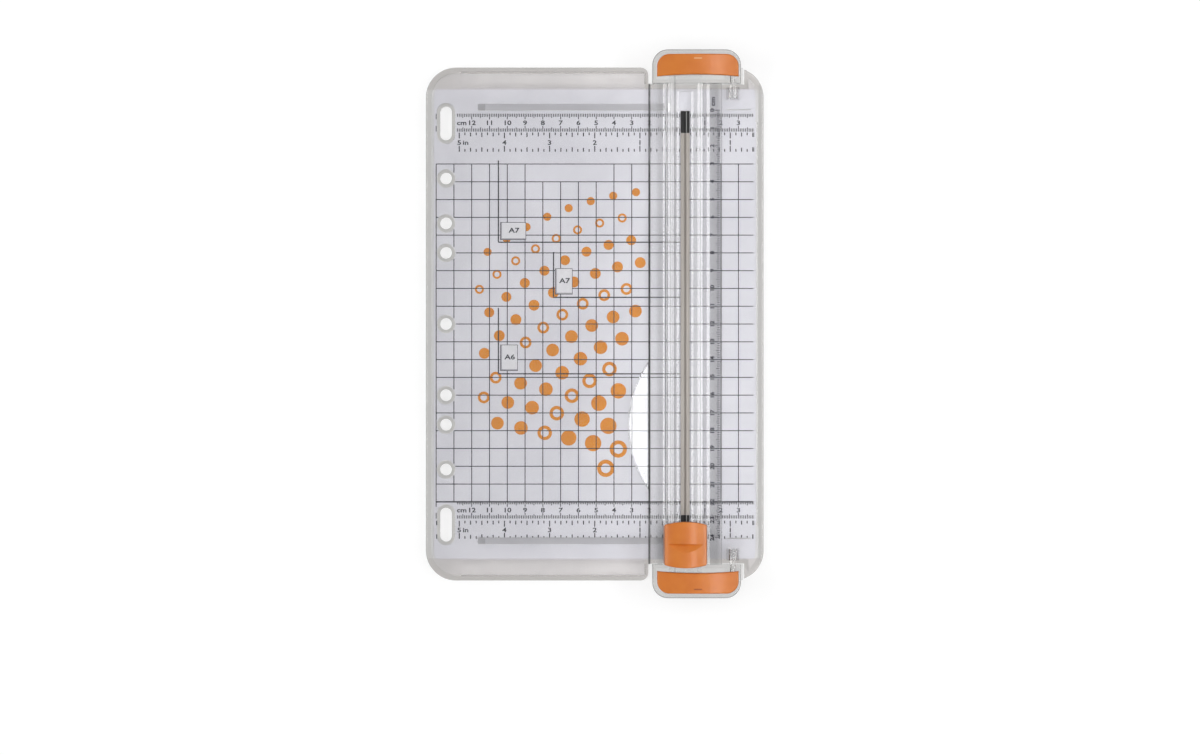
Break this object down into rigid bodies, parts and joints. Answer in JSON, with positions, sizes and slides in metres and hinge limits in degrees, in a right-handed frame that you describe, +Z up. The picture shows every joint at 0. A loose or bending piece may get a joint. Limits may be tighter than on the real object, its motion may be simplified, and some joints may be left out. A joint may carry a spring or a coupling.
{
  "type": "paper trimmer",
  "caption": "Flat desk paper trimmer with a clear gridded base, ring-binder holes, a hinged clear cutting rail and an orange thumb slider that presses and pushes the blade.",
  "frame": {"origin": "on the table, below the middle of the whole trimmer", "axes": "+Z up, +Y along the cut, away from the parked blade, +X towards the hinge side"},
  "size_m": [0.19, 0.3074, 0.029],
  "materials": {
    "clear_plastic": "clear, polished, with a faint grey tint",
    "printed_card": "smooth printed card",
    "plate_plastic": "fine moulded texture",
    "foot_rubber": "matt soft rubber",
    "strip_plastic": "satin, lightly scored",
    "black_plastic": "satin",
    "orange_plastic": "satin gloss",
    "steel": "ground steel",
    "carriage_plastic": "self-lubricating moulding"
  },
  "bodies": {
    "base": {"base_shell": "clear_plastic", "grid_sheet": "printed_card", "back_plate": "plate_plastic", "rubber_feet": "foot_rubber", "cutting_strip": "strip_plastic", "strip_end_upper": "black_plastic", "strip_end_lower": "black_plastic", "hinge_pin_upper": "clear_plastic", "hinge_pin_lower": "clear_plastic"},
    "rail": {"cutting_rail": "clear_plastic", "end_cap_upper": "clear_plastic", "end_cap_lower": "clear_plastic", "cap_insert_upper": "orange_plastic", "cap_insert_lower": "orange_plastic", "cap_screws": "steel"},
    "carriage": {"carriage_shoe": "carriage_plastic", "blade_springs": "steel"},
    "thumb": {"thumb_slider": "orange_plastic", "blade_holder": "carriage_plastic", "cutting_blade": "steel", "blade_pin": "steel"}
  },
  "joints": [
    {"name": "rail_lift", "type": "hinge", "parent": "base", "child": "rail", "pos_m": [0.0775, 0, 0.013], "axis": [0, 1, 0], "range_deg": [0, 80]},
    {"name": "carriage_slide", "type": "slide", "parent": "rail", "child": "carriage", "axis": [0, 1, 0], "range_m": [0, 0.2472]},
    {"name": "blade_press", "type": "slide", "parent": "carriage", "child": "thumb", "axis": [0, 0, -1], "range_m": [0, 0.002], "stiffness_N_per_m": 800, "springref_m": -0.002, "deforming": ["blade_springs"]}
  ]
}
